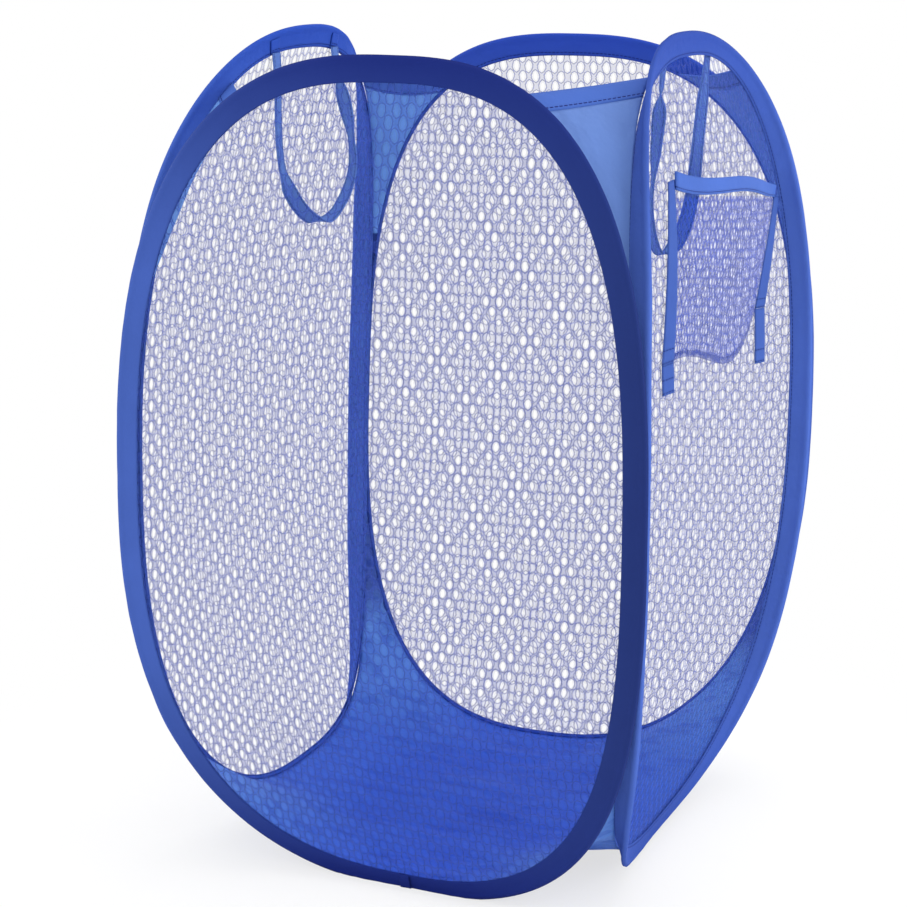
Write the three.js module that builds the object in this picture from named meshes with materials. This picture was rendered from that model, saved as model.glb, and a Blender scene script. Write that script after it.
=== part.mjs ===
// Pop up laundry hamper. Four spring steel hoops in fabric bindings stand on the sides of a square plan.
// Each hoop carries a mesh panel, neighbouring hoops are sewn together at mid height, and fabric gussets
// close the corners above and below the seams. A fabric base, two webbing handles that hang inside and
// a mesh pocket on the right side complete it.
// Millimetres, +Z up, the floor at z = 0, the front panel faces -Y and the pocket faces +X.
import * as THREE from 'three';

const turn = 2 * Math.PI;
const quarter = turn / 4;

// Driving sizes of the whole
const planSide = 408;
const hamperHeight = 600;
const clearance = 0.3;

// Outline of every hoop: a superellipse, rounder than a rectangle and squarer than an ellipse
const outline = { power: 2.65, stations: 56, bendLength: 60 };

// Binding strip folded round the wire and the edge of the mesh
const binding = { width: 18, wall: 0.7, foldWall: 2, foldHalf: 1.2, shoulder: 3, mouthHalf: 1 };
const wire = { radius: 1, sides: 6 };
const netting = { thickness: 1.2, tuck: 8, allowance: 9 };

// How far the top and the bottom of a panel lean inwards from its mid height
const bowPower = 2.3;
const faceBow = { top: 30, bottom: 56 };
const sideBow = { top: 34, bottom: 40 };

// The binding of a side panel stands out square along the corner seam and lies flat at top and bottom.
// The seam's ends are shares of half the height, above and below the middle.
const seam = { topShare: 0.427, bottomShare: 0.6, gap: 0.5, flatShare: 0.93, twistPower: 2 };

// Gaps of the netting
const netGap = { pitchAcross: 54, pitchUp: 56, widthShare: 0.7, heightShare: 0.76, marginShare: 0.86 };

// Corner gussets: ruled sails between the stitch lines of two hoops, with a hem below the top of the hoops
const gusset = {
  thickness: 1, setIn: 2.5, hemDrop: 36, hemDepth: 9, hemThickness: 2, hemSag: 4, rows: 5, columns: 4,
};
const footing = { cornerReach: 130 };

// Base cloth
const base = {
  thickness: 1, centreHeight: 8, sideSteps: 6, cornerSteps: 3, ringShares: [0.93, 0.7, 0.4], flatShare: 0.4, dish: 1.5,
};

// Webbing handles
const handle = {
  spacing: 98, drop: 134, lean: 11, width: 12, thickness: 1.4, flatLength: 14, twistLength: 45,
  bendSteps: 10, legSteps: 6,
};
const handleTab = { length: 11, start: 5.5, knuckle: 1 };

// Mesh pocket: corners as places across the panel and heights above the floor
const pocket = {
  topNear: [-80, 505], topFar: [156, 478], bottomFar: [84, 392], bottomNear: [-116, 396],
  belly: 13, sag: 17, sagPower: 2.2, thickness: 1, columns: 9, rows: 4, gapShare: 0.68,
  hemDepth: 11, hemThickness: 2,
};
const ribbon = {
  width: 15, thickness: 1.2, nearTail: 30, farTail: 48, nearTop: 12, farTop: 0, steps: 6, tailSteps: 3,
};

// Sizes that follow
const halfHeight = hamperHeight / 2;
const netHalf = netting.thickness / 2;
const boreHalf = wire.radius + clearance;
const bindingHalf = boreHalf + binding.wall;
const mouthOuter = binding.mouthHalf + binding.wall;
const mouthSet = netHalf + clearance;
const boreEnd = binding.width - binding.foldWall;
const wallHalfAtTuck = THREE.MathUtils.mapLinear(netting.tuck, mouthSet, boreEnd, binding.mouthHalf, boreHalf);
const wireSeat = boreEnd - clearance - wire.radius;
const netHalfHeight = halfHeight - binding.width;
const hemHeight = halfHeight - gusset.hemDrop;
const baseLift = netHalf + clearance + base.thickness / 2;
const pocketStand = netHalf + clearance + pocket.thickness / 2;

// A panel faces -Y. Face panels meet the seams flat, side panels fit between the two face panels.
const facePanel = {
  halfWidth: planSide / 2 - binding.width,
  distance: planSide / 2,
  bow: faceBow,
  twist: 0,
};
const sidePanel = {
  halfWidth: planSide / 2 - 2 * bindingHalf - seam.gap,
  distance: planSide / 2 - binding.width,
  bow: sideBow,
  twist: quarter,
};

function bowAt(panel, height) {
  const reach = height > 0 ? panel.bow.top : panel.bow.bottom;
  return reach * Math.pow(Math.abs(height) / halfHeight, bowPower);
}

function slopeAt(panel, height) {
  const reach = height > 0 ? panel.bow.top : panel.bow.bottom;
  const steepness = bowPower * reach / halfHeight;
  return Math.sign(height) * steepness * Math.pow(Math.abs(height) / halfHeight, bowPower - 1);
}

// Point of a panel's middle surface; height is measured from the middle of the hoop
function onPanel(panel, across, height, proud = 0) {
  const slope = slopeAt(panel, height);
  const length = Math.hypot(1, slope);
  const surface = new THREE.Vector3(across, bowAt(panel, height) - panel.distance, halfHeight + height);
  return surface.add(new THREE.Vector3(0, -proud / length, -proud * slope / length));
}

function panelNormal(panel, height) {
  return new THREE.Vector3(0, -1, -slopeAt(panel, height)).normalize();
}

function panelRise(panel, height) {
  return new THREE.Vector3(0, slopeAt(panel, height), 1).normalize();
}

// Half width of the stitch line at a height, and its height at a place across
function stitchAcross(panel, height) {
  const rest = 1 - Math.pow(Math.abs(height) / netHalfHeight, outline.power);
  return panel.halfWidth * Math.pow(rest, 1 / outline.power);
}

function stitchHeight(panel, across) {
  const rest = 1 - Math.pow(Math.abs(across) / panel.halfWidth, outline.power);
  return netHalfHeight * Math.pow(rest, 1 / outline.power);
}

// Frame of the binding at a point of the stitch line: out runs from the stitch line to the fold,
// face is square to the strip on the outside of the hamper
function bindingFrame(panel, across, height) {
  const gradientAcross = Math.sign(across) * Math.pow(Math.abs(across) / panel.halfWidth, outline.power - 1)
    / panel.halfWidth;
  const gradientUp = Math.sign(height) * Math.pow(Math.abs(height) / netHalfHeight, outline.power - 1)
    / netHalfHeight;
  const size = Math.hypot(gradientAcross, gradientUp);
  const normal = panelNormal(panel, height);
  const flat = new THREE.Vector3(gradientAcross / size, 0, 0)
    .addScaledVector(panelRise(panel, height), gradientUp / size);
  const sideShare = Math.min(1, Math.abs(across) / panel.halfWidth / seam.flatShare);
  const twist = panel.twist * Math.pow(sideShare, seam.twistPower);
  const out = flat.clone().multiplyScalar(Math.cos(twist)).addScaledVector(normal, Math.sin(twist));
  const face = normal.clone().multiplyScalar(Math.cos(twist)).addScaledVector(flat, -Math.sin(twist));
  const inner = [
    across - netting.allowance * gradientAcross / size,
    height - netting.allowance * gradientUp / size,
  ];
  return { point: onPanel(panel, across, height), out, face, normal, across, height, inner };
}

// Stations round the stitch line, closer where it bends, with one straight step at the middle of each side
function stitchStations(panel) {
  const fine = 16 * outline.stations;
  const points = [];
  for (let i = 0; i <= fine; i += 1) {
    const angle = turn * i / fine;
    const c = Math.cos(angle);
    const s = Math.sin(angle);
    points.push([
      panel.halfWidth * Math.sign(c) * Math.pow(Math.abs(c), 2 / outline.power),
      netHalfHeight * Math.sign(s) * Math.pow(Math.abs(s), 2 / outline.power),
    ]);
  }
  const runs = [0];
  let heading = quarter;
  for (let i = 1; i <= fine; i += 1) {
    const step = [points[i][0] - points[i - 1][0], points[i][1] - points[i - 1][1]];
    const bend = Math.abs(Math.sin(Math.atan2(step[1], step[0]) - heading));
    heading = Math.atan2(step[1], step[0]);
    runs.push(runs[i - 1] + Math.hypot(...step) + outline.bendLength * bend);
  }
  const stations = [];
  let at = 0;
  for (let k = 0; k < outline.stations; k += 1) {
    const run = runs[fine] * (k + 0.5) / outline.stations;
    while (runs[at + 1] < run) {
      at += 1;
    }
    const share = (run - runs[at]) / (runs[at + 1] - runs[at]);
    const across = THREE.MathUtils.lerp(points[at][0], points[at + 1][0], share);
    const height = THREE.MathUtils.lerp(points[at][1], points[at + 1][1], share);
    stations.push(bindingFrame(panel, across, height));
  }
  return stations;
}

function atBinding(frame, along, proud) {
  return frame.point.clone().addScaledVector(frame.out, along).addScaledVector(frame.face, proud);
}

// A panel is lowered until the fold between its two lowest stations is pressed flat on the floor
function settle(panel) {
  const lowest = [...panel.stations].sort((a, b) => a.point.z - b.point.z).slice(0, 2);
  const edges = lowest.flatMap((frame) => [1, -1].map((side) => atBinding(frame, binding.width,
    side * binding.foldHalf).z));
  return Math.max(...edges);
}

for (const panel of [facePanel, sidePanel]) {
  panel.stations = stitchStations(panel);
  panel.drop = settle(panel);
}

// Closed body from points and triangles, with its faces turned outwards
function closedBody(points, triangles) {
  let volume = 0;
  for (const [a, b, c] of triangles) {
    volume += points[a].dot(points[b].clone().cross(points[c]));
  }
  const order = volume > 0 ? triangles : triangles.map(([a, b, c]) => [a, c, b]);
  const geometry = new THREE.BufferGeometry();
  geometry.setAttribute('position', new THREE.Float32BufferAttribute(points.flatMap((p) => [p.x, p.y, p.z]), 3));
  geometry.setIndex(order.flat());
  geometry.computeVertexNormals();
  return geometry;
}

// Four corners as two triangles, parted from a to c, or from b to d
function quad(a, b, c, d, other = false) {
  return other ? [[a, b, d], [b, c, d]] : [[a, b, c], [a, c, d]];
}

// Sections joined in a closed ring, or capped at both ends. The fallen sides, where a section runs back
// towards its mouth, are parted the other way, so that both faces of a twisted strip stay parallel.
function sweep(sections, closed, fallen = () => false) {
  const size = sections[0].length;
  const points = sections.flat();
  const triangles = [];
  const last = closed ? sections.length : sections.length - 1;
  for (let i = 0; i < last; i += 1) {
    const next = (i + 1) % sections.length;
    for (let j = 0; j < size; j += 1) {
      const beside = (j + 1) % size;
      const corners = [i * size + j, i * size + beside, next * size + beside, next * size + j];
      triangles.push(...quad(...corners, fallen(j, beside)));
    }
  }
  if (!closed) {
    const end = (sections.length - 1) * size;
    for (let j = 1; j < size - 1; j += 1) {
      triangles.push([0, j + 1, j], [end, end + j, end + j + 1]);
    }
  }
  return closedBody(points, triangles);
}

// Sheet from matching points of its two faces. The triangles are those of the first face, and the
// loops run along its open edges the way its triangles do.
function skin(first, second, faces, loops) {
  const back = first.length;
  const triangles = faces.flatMap(([a, b, c]) => [[a, b, c], [back + a, back + c, back + b]]);
  for (const loop of loops) {
    loop.forEach((a, k) => {
      const b = loop[(k + 1) % loop.length];
      triangles.push(...quad(a, back + a, back + b, b));
    });
  }
  return closedBody([...first, ...second], triangles);
}

function gridRim(rows, columns) {
  const at = (i, j) => i * columns + j;
  return [
    ...Array.from({ length: columns - 1 }, (_, j) => at(0, j)),
    ...Array.from({ length: rows - 1 }, (_, i) => at(i, columns - 1)),
    ...Array.from({ length: columns - 1 }, (_, j) => at(rows - 1, columns - 1 - j)),
    ...Array.from({ length: rows - 1 }, (_, i) => at(rows - 1 - i, 0)),
  ];
}

// Thin cloth over a grid of points, half its thickness to each side
function cloth(grid, thickness) {
  const rows = grid.length;
  const columns = grid[0].length;
  const sides = [1, -1].map((side) => grid.flatMap((row, i) => row.map((point, j) => {
    const along = row[Math.min(j + 1, columns - 1)].clone().sub(row[Math.max(j - 1, 0)]);
    const up = grid[Math.min(i + 1, rows - 1)][j].clone().sub(grid[Math.max(i - 1, 0)][j]);
    return point.clone().addScaledVector(along.cross(up).normalize(), side * thickness / 2);
  })));
  const faces = [];
  for (let i = 0; i < rows - 1; i += 1) {
    for (let j = 0; j < columns - 1; j += 1) {
      const start = i * columns + j;
      faces.push(...quad(start, start + 1, start + columns + 1, start + columns));
    }
  }
  return skin(...sides, faces, [gridRim(rows, columns)]);
}

// Binding strip: a U section with its mouth towards the mesh, pressed flat where it meets the floor
function bindingBody(panel) {
  const section = [
    [mouthSet, binding.mouthHalf],
    [mouthSet, mouthOuter],
    [netting.tuck, wallHalfAtTuck + binding.wall],
    [binding.width - binding.shoulder, bindingHalf],
    [binding.width, binding.foldHalf],
    [binding.width, -binding.foldHalf],
    [binding.width - binding.shoulder, -bindingHalf],
    [netting.tuck, -wallHalfAtTuck - binding.wall],
    [mouthSet, -mouthOuter],
    [mouthSet, -binding.mouthHalf],
    [netting.tuck, -wallHalfAtTuck],
    [boreEnd, -boreHalf],
    [boreEnd, boreHalf],
    [netting.tuck, wallHalfAtTuck],
  ];
  return sweep(panel.stations.map((frame) => section.map(([along, proud]) => {
    const point = atBinding(frame, along, proud);
    point.z = Math.max(point.z, panel.drop);
    return point;
  })), true, (j, beside) => section[j][0] > section[beside][0]);
}

function wireBody(panel) {
  return sweep(panel.stations.map((frame) => Array.from({ length: wire.sides }, (_, k) => {
    const angle = turn * k / wire.sides;
    return atBinding(frame, wireSeat + wire.radius * Math.cos(angle), wire.radius * Math.sin(angle));
  })), true);
}

// Net with a plain seam allowance along the stitch line and an edge that turns into the binding
function netBody(panel) {
  const ring = panel.stations.map((frame) => new THREE.Vector2(...frame.inner));
  const gaps = netGaps(panel);
  const faces = THREE.ShapeUtils.triangulateShape(ring, gaps);
  const flat = [...ring, ...gaps.flat()];
  const points = [1, -1].flatMap((side) => flat.map((p) => onPanel(panel, p.x, p.y, side * netHalf)));
  const back = flat.length;
  const count = ring.length;
  const front = [];
  for (const side of [1, -1]) {
    const loops = [points.length, points.length + count];
    points.push(...panel.stations.map(({ point, normal, face }) => {
      const mitre = normal.clone().add(face).multiplyScalar(1 / (1 + normal.dot(face)));
      return point.clone().addScaledVector(mitre, side * netHalf);
    }));
    points.push(...panel.stations.map((frame) => atBinding(frame, netting.tuck, side * netHalf)));
    front.push(loops);
  }
  const triangles = faces.flatMap(([a, b, c]) => [[a, b, c], [back + a, back + c, back + b]]);
  const strips = [0, front[0][0], front[0][1], front[1][1], front[1][0], back];
  for (let k = 0; k < count; k += 1) {
    const next = (k + 1) % count;
    for (let i = 0; i < strips.length - 1; i += 1) {
      const corners = [strips[i] + k, strips[i + 1] + k, strips[i + 1] + next, strips[i] + next];
      triangles.push(...quad(...corners, i > 2));
    }
  }
  let start = count;
  for (const gap of gaps) {
    gap.forEach((_, k) => {
      const a = start + k;
      const b = start + (k + 1) % gap.length;
      triangles.push(...quad(a, back + a, back + b, b));
    });
    start += gap.length;
  }
  return closedBody(points, triangles);
}

// Diamond gaps in staggered rows, kept inside the stitch line
function netGaps(panel) {
  const gaps = [];
  const rows = Math.floor(2 * netHalfHeight / netGap.pitchUp);
  const columns = Math.ceil(panel.halfWidth / netGap.pitchAcross);
  const halfAcross = netGap.pitchAcross * netGap.widthShare / 2;
  const halfUp = netGap.pitchUp * netGap.heightShare / 2;
  for (let i = 0; i < rows; i += 1) {
    const height = (i - (rows - 1) / 2) * netGap.pitchUp;
    const shift = i % 2 === 0 ? 0 : netGap.pitchAcross / 2;
    for (let j = -columns; j <= columns; j += 1) {
      const across = j * netGap.pitchAcross + shift;
      const reach = Math.pow((Math.abs(across) + halfAcross) / panel.halfWidth, outline.power)
        + Math.pow(Math.abs(height) / netHalfHeight, outline.power);
      const climb = Math.pow(Math.abs(across) / panel.halfWidth, outline.power)
        + Math.pow((Math.abs(height) + halfUp) / netHalfHeight, outline.power);
      if (Math.max(reach, climb) < netGap.marginShare) {
        gaps.push([
          new THREE.Vector2(across + halfAcross, height),
          new THREE.Vector2(across, height - halfUp),
          new THREE.Vector2(across - halfAcross, height),
          new THREE.Vector2(across, height + halfUp),
        ]);
      }
    }
  }
  return gaps;
}

// A corner's two stitch lines in the hamper's frame: first on the face panel, then on the side panel.
// faceSign is -1 at the front and 1 at the back, sideSign is 1 on the right and -1 on the left.
function cornerPair(faceSign, sideSign, height, thickness) {
  const lift = netHalf + clearance + thickness / 2;
  const onFace = onPanel(facePanel, stitchAcross(facePanel, height) - gusset.setIn, height, -lift);
  const onSide = onPanel(sidePanel, stitchAcross(sidePanel, height) - gusset.setIn, height, -lift);
  return [
    new THREE.Vector3(sideSign * onFace.x, -faceSign * onFace.y, onFace.z - facePanel.drop),
    new THREE.Vector3(-sideSign * onSide.y, faceSign * onSide.x, onSide.z - sidePanel.drop),
  ];
}

function cornerGrid(faceSign, sideSign, from, to, sag) {
  const grid = [];
  for (let i = 0; i <= gusset.rows; i += 1) {
    const height = THREE.MathUtils.lerp(from, to, i / gusset.rows);
    const [a, b] = cornerPair(faceSign, sideSign, height, gusset.thickness);
    const row = [];
    for (let j = 0; j <= gusset.columns; j += 1) {
      const share = j / gusset.columns;
      const point = a.clone().lerp(b, share);
      point.z -= sag * Math.sin(Math.PI * share) * i / gusset.rows;
      row.push(point);
    }
    grid.push(row);
  }
  return grid;
}

function topGusset(faceSign, sideSign) {
  const top = hemHeight - gusset.hemDepth - clearance;
  return cloth(cornerGrid(faceSign, sideSign, seam.topShare * halfHeight, top, gusset.hemSag), gusset.thickness);
}

// Hem of a top gusset: the doubled edge between the two hoops
function topHem(faceSign, sideSign) {
  const grid = [hemHeight - gusset.hemDepth, hemHeight].map((height) => {
    const [a, b] = cornerPair(faceSign, sideSign, height, gusset.hemThickness);
    return Array.from({ length: gusset.columns + 1 }, (_, j) => {
      const share = j / gusset.columns;
      const point = a.clone().lerp(b, share);
      point.z -= gusset.hemSag * Math.sin(Math.PI * share);
      return point;
    });
  });
  return cloth(grid, gusset.hemThickness);
}

function bottomGusset(faceSign, sideSign) {
  const foot = stitchHeight(facePanel, footing.cornerReach) - baseLift - base.thickness / 2 - clearance;
  return cloth(cornerGrid(faceSign, sideSign, -foot, -seam.bottomShare * halfHeight, 0), gusset.thickness);
}

// Base cloth: its edge follows the stitch lines and crosses each corner straight
function baseBody() {
  const edge = [];
  const onEdge = (panel, across) => {
    const point = onPanel(panel, across, -stitchHeight(panel, across) + baseLift, -baseLift);
    point.z -= panel.drop;
    return point;
  };
  for (let side = 0; side < 4; side += 1) {
    const panel = side % 2 === 0 ? facePanel : sidePanel;
    const next = side % 2 === 0 ? sidePanel : facePanel;
    const reachOf = (kind) => stitchAcross(kind, stitchHeight(facePanel, footing.cornerReach));
    const reach = reachOf(panel);
    const run = [];
    for (let i = 0; i <= base.sideSteps; i += 1) {
      run.push(onEdge(panel, THREE.MathUtils.lerp(-reach, reach, i / base.sideSteps)));
    }
    const turned = onEdge(next, -reachOf(next)).applyAxisAngle(new THREE.Vector3(0, 0, 1), quarter);
    const last = run[run.length - 1];
    for (let i = 1; i < base.cornerSteps; i += 1) {
      run.push(last.clone().lerp(turned, i / base.cornerSteps));
    }
    edge.push(...run.map((p) => p.applyAxisAngle(new THREE.Vector3(0, 0, 1), side * quarter)));
  }
  const rings = [edge, ...base.ringShares.map((share) => edge.map((p) => {
    const riseShare = Math.pow(Math.max(0, (share - base.flatShare) / (1 - base.flatShare)), base.dish);
    const rise = (p.z - base.centreHeight) * riseShare;
    return new THREE.Vector3(p.x * share, p.y * share, base.centreHeight + rise);
  }))];
  const count = edge.length;
  const points = [];
  for (const side of [1, -1]) {
    for (const ring of rings) {
      points.push(...ring.map((p) => p.clone().add(new THREE.Vector3(0, 0, side * base.thickness / 2))));
    }
    points.push(new THREE.Vector3(0, 0, base.centreHeight + side * base.thickness / 2));
  }
  const back = points.length / 2;
  const centre = back - 1;
  const triangles = [];
  for (let k = 0; k < count; k += 1) {
    const next = (k + 1) % count;
    for (let r = 0; r < rings.length - 1; r += 1) {
      const a = r * count;
      const b = (r + 1) * count;
      triangles.push(...quad(a + k, a + next, b + next, b + k));
      triangles.push(...quad(back + a + k, back + b + k, back + b + next, back + a + next));
    }
    const inner = (rings.length - 1) * count;
    triangles.push([inner + k, inner + next, centre], [back + inner + next, back + inner + k, back + centre]);
    triangles.push(...quad(k, back + k, back + next, next));
  }
  return closedBody(points, triangles);
}

// Webbing handle: it hangs a little below its tabs, so that it clears them when it swings up, and leans
// inwards. Its legs start flat, turn edge on and meet in a round bend.
const handleSet = bindingHalf + clearance + handle.thickness / 2;

function handleAnchor(side) {
  const across = side * handle.spacing / 2;
  return bindingFrame(sidePanel, across, stitchHeight(sidePanel, across));
}

function handlePivot() {
  const frame = handleAnchor(1);
  const point = atBinding(frame, handleTab.knuckle, -handleSet);
  return new THREE.Vector3(0, point.y, point.z);
}

function handleBody() {
  const radius = handle.spacing / 2;
  const legLength = handle.drop - radius;
  const route = [];
  for (let i = 0; i < handle.legSteps; i += 1) {
    route.push([-radius, -legLength * i / handle.legSteps]);
  }
  for (let i = 0; i <= handle.bendSteps; i += 1) {
    const angle = Math.PI * (1 + i / handle.bendSteps);
    route.push([radius * Math.cos(angle), -legLength + radius * Math.sin(angle)]);
  }
  for (let i = handle.legSteps - 1; i >= 0; i -= 1) {
    route.push([radius, -legLength * i / handle.legSteps]);
  }
  const pivot = handlePivot();
  return sweep(route.map(([across, up], k) => {
    const before = route[Math.max(k - 1, 0)];
    const after = route[Math.min(k + 1, route.length - 1)];
    const length = Math.hypot(after[0] - before[0], after[1] - before[1]);
    const normal = new THREE.Vector3(-(after[1] - before[1]) / length, 0, (after[0] - before[0]) / length);
    const turned = quarter * THREE.MathUtils.clamp((-up - handle.flatLength)
      / (handle.twistLength - handle.flatLength), 0, 1);
    const depth = new THREE.Vector3(0, 1, 0);
    const wide = normal.clone().multiplyScalar(Math.cos(turned)).addScaledVector(depth, Math.sin(turned));
    const thick = depth.clone().multiplyScalar(Math.cos(turned)).addScaledVector(normal, -Math.sin(turned));
    const centre = new THREE.Vector3(across, pivot.y - handle.lean * up / handle.drop, pivot.z + up);
    return [[1, 1], [-1, 1], [-1, -1], [1, -1]].map(([w, t]) => centre.clone()
      .addScaledVector(wide, w * handle.width / 2)
      .addScaledVector(thick, t * handle.thickness / 2));
  }), false);
}

// Sewn end of the handle's webbing, laid on the inside of the binding
function handleTabBody(side) {
  const ends = [handleTab.start, handleTab.start + handleTab.length];
  const columns = [-1, 0, 1].map((edge) => (side * handle.spacing + edge * handle.width) / 2)
    .map((across) => bindingFrame(sidePanel, across, stitchHeight(sidePanel, across)));
  return cloth(ends.map((reach) => columns.map((frame) => atBinding(frame, reach, -handleSet))),
    handle.thickness);
}

// Pocket on the outside of a side panel. Places run from the near to the far side and from bottom to top.
function pocketPoint(across, up, proud) {
  const low = new THREE.Vector2(...pocket.bottomNear).lerp(new THREE.Vector2(...pocket.bottomFar), across);
  const high = new THREE.Vector2(...pocket.topNear).lerp(new THREE.Vector2(...pocket.topFar), across);
  const place = low.lerp(high, up);
  const along = THREE.MathUtils.clamp(across, 0, 1);
  place.y -= pocket.sag * Math.sin(Math.PI * Math.pow(along, pocket.sagPower)) * Math.max(0, 1 - up);
  const belly = pocket.belly * Math.sin(Math.PI * along) * Math.min(up, 1);
  return onPanel(sidePanel, place.x, place.y - halfHeight, pocketStand + belly + proud);
}

// Pocket mesh: a grid of cells with a diamond gap in each
function pocketBody() {
  const { columns, rows } = pocket;
  const places = [];
  for (let i = 0; i <= rows; i += 1) {
    for (let j = 0; j <= columns; j += 1) {
      places.push([j / columns, i / rows]);
    }
  }
  const faces = [];
  const loops = [gridRim(rows + 1, columns + 1)];
  for (let i = 0; i < rows; i += 1) {
    for (let j = 0; j < columns; j += 1) {
      const corner = i * (columns + 1) + j;
      const ring = [corner, corner + 1, corner + columns + 2, corner + columns + 1];
      const gap = [0, 1, 2, 3].map((k) => places.length + k);
      for (const [x, y] of [[0, -1], [1, 0], [0, 1], [-1, 0]]) {
        places.push([
          (j + (1 + x * pocket.gapShare) / 2) / columns,
          (i + (1 + y * pocket.gapShare) / 2) / rows,
        ]);
      }
      ring.forEach((a, k) => {
        faces.push([a, ring[(k + 1) % ring.length], gap[k]]);
        faces.push([a, gap[k], gap[(k + ring.length - 1) % ring.length]]);
      });
      loops.push(gap.reverse());
    }
  }
  const sides = [1, -1].map((side) => places.map(([x, y]) => pocketPoint(x, y, side * pocket.thickness / 2)));
  return skin(...sides, faces, loops);
}

const hemSet = (pocket.hemThickness - pocket.thickness) / 2;
const pocketHeight = (pocket.topNear[1] + pocket.topFar[1] - pocket.bottomNear[1] - pocket.bottomFar[1]) / 2;

function pocketHem() {
  const grid = [clearance, pocket.hemDepth].map((rise) => Array.from({ length: pocket.columns + 1 },
    (_, j) => pocketPoint(j / pocket.columns, 1 + rise / pocketHeight, hemSet)));
  return cloth(grid, pocket.hemThickness);
}

// Ribbon beside one side edge of the pocket, flat on the mesh, and its loose tail below
const ribbonSet = netHalf + clearance + ribbon.thickness / 2;

function ribbonEdge(side) {
  const low = side < 0 ? pocket.bottomNear : pocket.bottomFar;
  const high = side < 0 ? pocket.topNear : pocket.topFar;
  return { low: new THREE.Vector2(...low), high: new THREE.Vector2(...high) };
}

function ribbonRow(place, side) {
  return [-1, 1].map((edge) => onPanel(sidePanel, place.x + side * (clearance + ribbon.width / 2)
    + edge * ribbon.width / 2, place.y - halfHeight, ribbonSet));
}

function ribbonBody(side) {
  const { low, high } = ribbonEdge(side);
  const over = side < 0 ? ribbon.nearTop : ribbon.farTop;
  const top = high.clone().add(high.clone().sub(low).setLength(over));
  const rows = Array.from({ length: ribbon.steps + 1 }, (_, i) => low.clone().lerp(top, i / ribbon.steps));
  return cloth(rows.map((row) => ribbonRow(row, side)), ribbon.thickness);
}

function tailBody(side) {
  const { low } = ribbonEdge(side);
  const length = side < 0 ? ribbon.nearTail : ribbon.farTail;
  const rows = Array.from({ length: ribbon.tailSteps + 1 }, (_, i) => new THREE.Vector2(low.x,
    low.y - 2 * clearance - length * (ribbon.tailSteps - i) / ribbon.tailSteps));
  return cloth(rows.map((row) => ribbonRow(row, side)), ribbon.thickness);
}

// Finishes
const finish = {
  binding: new THREE.MeshStandardMaterial({ color: 0x2138a8, roughness: 0.75, metalness: 0 }),
  mesh: new THREE.MeshStandardMaterial({ color: 0xc9cbe0, roughness: 0.7, metalness: 0 }),
  taffeta: new THREE.MeshStandardMaterial({ color: 0x5f86dc, roughness: 0.55, metalness: 0 }),
  base: new THREE.MeshStandardMaterial({ color: 0x2b49c0, roughness: 0.6, metalness: 0 }),
  webbing: new THREE.MeshStandardMaterial({ color: 0x3f63cc, roughness: 0.8, metalness: 0 }),
  pocket: new THREE.MeshStandardMaterial({ color: 0x5f77cf, roughness: 0.7, metalness: 0 }),
  steel: new THREE.MeshStandardMaterial({ color: 0x9a9da3, roughness: 0.35, metalness: 1 }),
};

const hamper = new THREE.Group();

function place(parent, name, geometry, material) {
  const mesh = new THREE.Mesh(geometry, material);
  mesh.name = name;
  parent.add(mesh);
}

// Each panel in its own group, turned about the middle of the hamper
const panels = [
  { name: 'front', panel: facePanel, heading: 0 },
  { name: 'right', panel: sidePanel, heading: quarter },
  { name: 'back', panel: facePanel, heading: 2 * quarter },
  { name: 'left', panel: sidePanel, heading: -quarter },
];
const groups = {};
for (const { name, panel, heading } of panels) {
  const group = new THREE.Group();
  group.rotation.z = heading;
  group.position.z = -panel.drop;
  hamper.add(group);
  groups[name] = group;
  place(group, `hoop_wire_${name}`, wireBody(panel), finish.steel);
  place(group, `binding_${name}`, bindingBody(panel), finish.binding);
  place(group, `mesh_panel_${name}`, netBody(panel), finish.mesh);
}

const corners = [
  { name: 'front_right', faceSign: -1, sideSign: 1 },
  { name: 'back_right', faceSign: 1, sideSign: 1 },
  { name: 'back_left', faceSign: 1, sideSign: -1 },
  { name: 'front_left', faceSign: -1, sideSign: -1 },
];
for (const { name, faceSign, sideSign } of corners) {
  place(hamper, `top_gusset_${name}`, topGusset(faceSign, sideSign), finish.taffeta);
  place(hamper, `top_hem_${name}`, topHem(faceSign, sideSign), finish.taffeta);
  place(hamper, `bottom_gusset_${name}`, bottomGusset(faceSign, sideSign), finish.base);
}
place(hamper, 'base_cloth', baseBody(), finish.base);

for (const name of ['right', 'left']) {
  place(groups[name], `handle_${name}`, handleBody(), finish.webbing);
  place(groups[name], `handle_tab_${name}_a`, handleTabBody(-1), finish.webbing);
  place(groups[name], `handle_tab_${name}_b`, handleTabBody(1), finish.webbing);
}

place(groups.right, 'pocket_mesh', pocketBody(), finish.pocket);
place(groups.right, 'pocket_hem', pocketHem(), finish.taffeta);
place(groups.right, 'pocket_ribbon_near', ribbonBody(-1), finish.taffeta);
place(groups.right, 'pocket_ribbon_far', ribbonBody(1), finish.taffeta);
place(groups.right, 'ribbon_tail_near', tailBody(-1), finish.taffeta);
place(groups.right, 'ribbon_tail_far', tailBody(1), finish.taffeta);

export default hamper;
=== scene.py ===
import math

import bmesh
import bpy
from mathutils import Matrix, Vector, noise


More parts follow.
